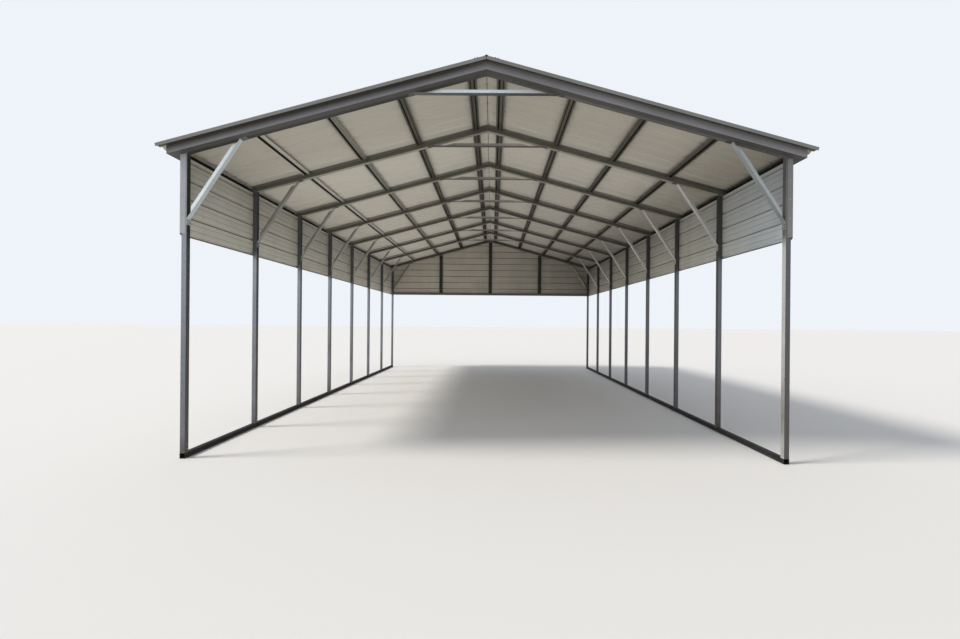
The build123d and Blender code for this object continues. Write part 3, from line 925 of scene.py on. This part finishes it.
roof_coat = baked_coat(
    "roof_sheet_coat", coat_colour, coat_shade, 0.46, streak_scale=(0.6, 9.0, 0.6), dirt_level=0.25,
    underside=sheet_underside)
roof_meshes = [
    lay_sheets(panel_line(first=True), 0, 1),
    lay_sheets(panel_line(), 1, panel_count - 2),
    lay_sheets(panel_line(last=True), panel_count - 1, 1),
]
for side, title in ((1, "right"), (-1, "left")):
    sheets = joined_slope("roof_sheets_" + title, roof_meshes, roof_coat, side)
    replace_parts(place_piece(sheets, "roof_sheets_" + title), "roof_sheet_" + title)

rake_cover = 0.150
screw_beside_rib = 0.050
sheet_top_rise = hat_top_rise + sheet_gauge
roof_screw_places = []
for side in SIDES:
    for x in hat_places:
        for place in range(panel_count * panel_ribs):
            y = -roof_half_length + rib_pitch * (place + 0.5) + screw_beside_rib
            if abs(y) < roof_half_length - rake_cover:
                place_on_roof = roof_point(side, x, y, sheet_top_rise)
                roof_screw_places.append((place_on_roof, (side * up_right.x, 0, up_right.z)))
painted_screw = baked_coat(
    "painted_screw_coat", coat_colour, coat_shade, 0.4, streak_scale=(9.0, 9.0, 9.0), dirt_level=0.2)
set_screws("roof_screws", roof_screw_places, painted_screw, wide_washer)


# Back gable
# A level tube is welded between the back posts, and three upright hat channels stand on it with their open
# side inwards. Ribbed sheet lies level on them outside, cut to the slope and screwed to all that it crosses.
stud_colour = (0.060, 0.060, 0.058, 1)
stud_shade = (0.035, 0.035, 0.034, 1)
header_colour = (0.17, 0.162, 0.144, 1)
header_shade = (0.13, 0.124, 0.11, 1)
gable_colour = (0.61, 0.565, 0.485, 1)
gable_shade = (0.53, 0.49, 0.41, 1)
gable_shade_stretch = (0.0, 3.6)
wall_streaks = (5.0, 5.0, 0.5)
wall_bottom = 2.682
wall_lap = 0.032
gable_rib_count = 9
gable_back = frame_length / 2
gable_flat = gable_back + sheet_gauge
header_bottom = 2.696
header_screw_height = 2.752
header_screw_gap = 0.3
stud_spacing = 1.829
stud_screw_offset = 0.020
stud_screw_above = 0.075
rake_screws_above = (stud_screw_above, 0.155)
rake_screw_margin = 0.03
ridge_screw_margin = 0.1


def header_run(y):
    """Both ends of the header, square against the back posts."""
    def cut(x):
        def end(u, v):
            return (x, y + u, header_bottom + tube_width / 2 + v)
        return end

    return cut(-post_inner), cut(post_inner)


def header_seams(y):
    """Where the header's ends are welded to the posts: over the top, down the front and under the bottom."""
    front = y - tube_width / 2
    back_end = y + tube_width / 2 - bead_start
    top = header_bottom + tube_width
    seams = []
    for side in SIDES:
        x = side * post_inner
        seams.append([
            (x, back_end, top), (x, front, top), (x, front, header_bottom), (x, back_end, header_bottom)])
    return seams


def gable_painted_shade(tree, at, coat):
    """Painted shade on the gable sheet, thickest to the right."""
    return laid_over(tree, ranged(tree, at["X"], gable_shade_stretch, share=0.44), coat, dust_and_painted_shade)


stud_zinc = zinc_coat("shaded_stud_zinc", stud_colour, stud_shade, metal=0.3, gloss=0.5)
header_zinc = zinc_coat("header_zinc", header_colour, header_shade, metal=0.3, gloss=0.5)
rolled_tubes("gable_header_tube", [header_run(frame_middles[-1])], header_zinc, "gable_header")
lay_beads("header_welds", header_seams(frame_middles[-1]), weld_zinc)
finish_nodes(stud_zinc, ["gable_studs"])
gable_coat = baked_coat(
    "gable_sheet_coat", gable_colour, gable_shade, 0.45, streak_scale=wall_streaks, dirt_level=0.25,
    ledge=0.95, painted_light_and_shade=gable_painted_shade)
finish_nodes(gable_coat, ["gable_sheet"])

rib_levels = [wall_bottom + wall_lap + rib_pitch * place for place in range(gable_rib_count)]
gable_screw_places = []
outward = (0, 1, 0)
header_screw_count = int(2 * post_inner / header_screw_gap)
for place in range(header_screw_count):
    x = (place - (header_screw_count - 1) / 2) * header_screw_gap
    gable_screw_places.append(((x, gable_flat, header_screw_height), outward))
for level in rib_levels:
    for above in rake_screws_above:
        z = level + above
        for stud in (-stud_spacing, 0.0, stud_spacing):
            if above == stud_screw_above and z < roof_height(stud) - rake_screw_margin:
                gable_screw_places.append(((stud + stud_screw_offset, gable_flat, z), outward))
        x = post_outer - (z - tube_width / 2 - eave_height) / roof_slope
        if ridge_screw_margin < x < post_inner:
            gable_screw_places.append(((x, gable_flat, z), outward))
            gable_screw_places.append(((-x, gable_flat, z), outward))
set_screws("gable_screws", gable_screw_places, painted_screw, wide_washer)


# Side sheets
# One strip of the same ribbed sheet under each eave, hung level outside the posts with its ribs outwards.
# Inside, the lower ledge of each rib is darkened with dust and painted shade.
wall_colour = (0.72, 0.70, 0.62, 1)
wall_shade = (0.62, 0.60, 0.525, 1)
painted_sky_reflection = (0.50, 0.58, 0.66, 1)
sky_reflection_stretch = (-3.0, -4.6)
shade_across = (-4.0, 4.0)
shade_along = (-5.0, 3.0)
darkening_heights = (2.80, 3.60)
wall_flat = post_outer + sheet_gauge
wall_ribs = 4
screw_from_rib = 0.045


def wall_painted_light(tree, at, coat):
    """Darker at the top, painted shade to the right and back, over a painted sky reflection at the right
    front.
    """
    sky_tint = ranged(tree, at["Y"], sky_reflection_stretch, share=0.55)
    coat = laid_over(tree, product(tree, ranged(tree, at["X"], RIGHT_HALF), sky_tint), coat, painted_sky_reflection)
    to_right = ranged(tree, at["X"], shade_across, share=0.40)
    right_back = product(tree, to_right, ranged(tree, at["Y"], shade_along))
    high = ranged(tree, at["Z"], darkening_heights, share=0.34)
    return laid_over(tree, worked(tree, "ADD", right_back, high), coat, dust_and_painted_shade)


wall_coat = baked_coat(
    "wall_sheet_coat", wall_colour, wall_shade, 0.45, streak_scale=wall_streaks, dirt_level=0.25,
    ledge=0.95, painted_light_and_shade=wall_painted_light)
finish_nodes(wall_coat, ["side_sheet_left", "side_sheet_right"])
side_screw_places = []
for side in SIDES:
    for y in frame_middles[1:-1]:
        for level in rib_levels[:wall_ribs]:
            for z in (level + screw_from_rib, level + rib_pitch - screw_from_rib):
                side_screw_places.append(((side * wall_flat, y, z), (side, 0, 0)))
set_screws("side_screws", side_screw_places, painted_screw, wide_washer)


# Folded trims
# Thin painted steel folded to shape: grey fascias and soffits round the roof's underside, grey angles down
# the corners, and duller trim on the gable edges. The ridge cap lies over both slopes, with foam in its ends.
grey_colour = (0.27, 0.265, 0.275, 1)
grey_shade = (0.22, 0.215, 0.222, 1)
corner_colour = (0.47, 0.475, 0.49, 1)
corner_shade = (0.40, 0.405, 0.415, 1)
pale_colour = (0.215, 0.22, 0.20, 1)
pale_shade = (0.17, 0.175, 0.16, 1)
foam_colour = (0.03, 0.03, 0.031, 1)
foam_shade = (0.012, 0.012, 0.013, 1)
trim_streaks = (4.0, 4.0, 1.0)
trim_shade_span = (0.015, 0.095)
left_shade_span = (0.015, 0.085)
left_slope = (0.4, -0.4)
foam_scale = 900.0
foam_span = (0.3, 0.7)
trim_gauge = 0.0005
trim_overhang = 0.090
fascia_out = frame_length / 2 + trim_overhang
rib_top_rise = hat_top_rise + sheet_gauge + rib_height
rake_screw_count = 8
rake_screw_start = 0.36
rake_screw_gap = 0.45
cap_screw_x = 0.150
fascia_screw_rise = 0.082
lip_screw_rise = 0.012
lip_screw_places = (0.4, 1.0, 1.6, 2.2, 2.8, 3.4)
eave_screw_rises = (0.018, 0.048)
corner_screw_inset = 0.030
corner_lip_inset = 0.034
closure_places = (0.107, 0.138)
closure_half = (0.0075, 0.0075, 0.0055)
closure_inset = 0.008
closure_squareness = 1.25


def trim_painted_shade(tree, at, coat):
    """Painted shade close under the roof's edge, thicker on the left, by the height above the rafters'
    underside.
    """
    fall = worked(tree, "MULTIPLY", worked(tree, "ABSOLUTE", at["X"]), roof_slope)
    level = worked(tree, "SUBTRACT", worked(tree, "ADD", fall, at["Z"]), roof_height(0))
    coat = laid_over(tree, ranged(tree, level, trim_shade_span, share=0.40), coat, painted_shade_black)
    left = product(tree, ranged(tree, at["X"], left_slope), ranged(tree, level, left_shade_span, share=0.68))
    return laid_over(tree, left, coat, painted_shade_black)


def corner_painted_shade(tree, at, coat):
    """Painted shade on the right corners."""
    return laid_over(tree, ranged(tree, at["X"], RIGHT_HALF, share=0.65), coat, dust_and_painted_shade)


# The grey trims get painted shade on faces that look down.
grey_coat = baked_coat(
    "grey_trim_coat", grey_colour, grey_shade, 0.42, streak_scale=trim_streaks, dirt_level=0.2, shade=0.78,
    painted_light_and_shade=trim_painted_shade)
corner_coat = baked_coat(
    "corner_trim_coat", corner_colour, corner_shade, 0.42, streak_scale=trim_streaks, dirt_level=0.2,
    painted_light_and_shade=corner_painted_shade)
pale_coat = baked_coat(
    "pale_trim_coat", pale_colour, pale_shade, 0.42, streak_scale=(3.0, 3.0, 1.0), dirt_level=0.25)
finish_nodes(grey_coat, ["gable_trim_front", "gable_trim_back", "eave_trim_left", "eave_trim_right"])
finish_nodes(corner_coat, ["corner_trims_front", "corner_trims_back"])
finish_nodes(pale_coat, ["rake_trim_front", "rake_trim_back", "ridge_cap"])

closure_foam, foam_tree, foam_shader = new_finish("closure_foam", {"Roughness": 0.9})
foam_cells = pattern(foam_tree, surface(foam_tree)["way"], foam_scale, detail=2.0, rough=0.5)
foam = laid_over(foam_tree, ranged(foam_tree, foam_cells, foam_span), foam_shade, foam_colour)
foam_tree.links.new(foam, foam_shader.inputs["Base Color"])
closures = bmesh.new()
for side in SIDES:
    for x in closure_places:
        for end in SIDES:
            lump = bmesh.ops.create_icosphere(closures, subdivisions=2, radius=1.0)["verts"]
            closure_y = end * (roof_half_length - closure_inset)
            middle = roof_point(side, x, closure_y, rib_top_rise + closure_half[2])
            for corner in lump:
                squared = [max(-1.0, min(1.0, value * closure_squareness)) for value in corner.co]
                corner.co = middle + Vector(value * half for value, half in zip(squared, closure_half))
closure_mesh = bpy.data.meshes.new("cap_closure_ends")
closures.to_mesh(closure_mesh)
closures.free()
closure_mesh.materials.append(closure_foam)
place_piece(closure_mesh, "cap_closure_ends")

trim_screw_places = []
fascia_screw_places = []
for side in SIDES:
    up = (side * up_right.x, 0, up_right.z)
    for end in SIDES:
        rib_y = end * (roof_half_length - rib_pitch / 2)
        for place in range(rake_screw_count):
            x = rake_screw_start + place * rake_screw_gap
            trim_screw_places.append((roof_point(side, x, rib_y, rib_top_rise + trim_gauge), up))
        for x in hat_places[1:]:
            fascia_place = (side * x, end * fascia_out, roof_height(x, fascia_screw_rise))
            fascia_screw_places.append((fascia_place, (0, end, 0)))
    for place in range(1, panel_count * panel_ribs // 2):
        y = -roof_half_length + rib_pitch * (2 * place + 0.5)
        trim_screw_places.append((roof_point(side, cap_screw_x, y, rib_top_rise + 2 * trim_gauge), up))
    for x in lip_screw_places:
        lip_y = -frame_length / 2 - trim_gauge
        fascia_screw_places.append(((side * x, lip_y, roof_height(x, lip_screw_rise)), (0, -1, 0)))
    for y in frame_middles:
        x = tail_end + trim_gauge
        for above in eave_screw_rises:
            fascia_screw_places.append(((side * x, y, roof_height(x, above)), (side, 0, 0)))
    for level in rib_levels[1:wall_ribs + 1]:
        for end in SIDES:
            corner_y = frame_length / 2 if end < 0 else gable_flat + rib_height
            corner_x = wall_flat + rib_height + trim_gauge
            beside = (side * corner_x, end * (corner_y - corner_screw_inset), level)
            trim_screw_places.append((beside, (side, 0, 0)))
            across = (side * (corner_x - corner_lip_inset), end * (corner_y + trim_gauge), level)
            trim_screw_places.append((across, (0, end, 0)))
set_screws("trim_screws", trim_screw_places, screw_zinc, wide_washer)
set_screws("fascia_screws", fascia_screw_places, grey_coat, wide_washer)
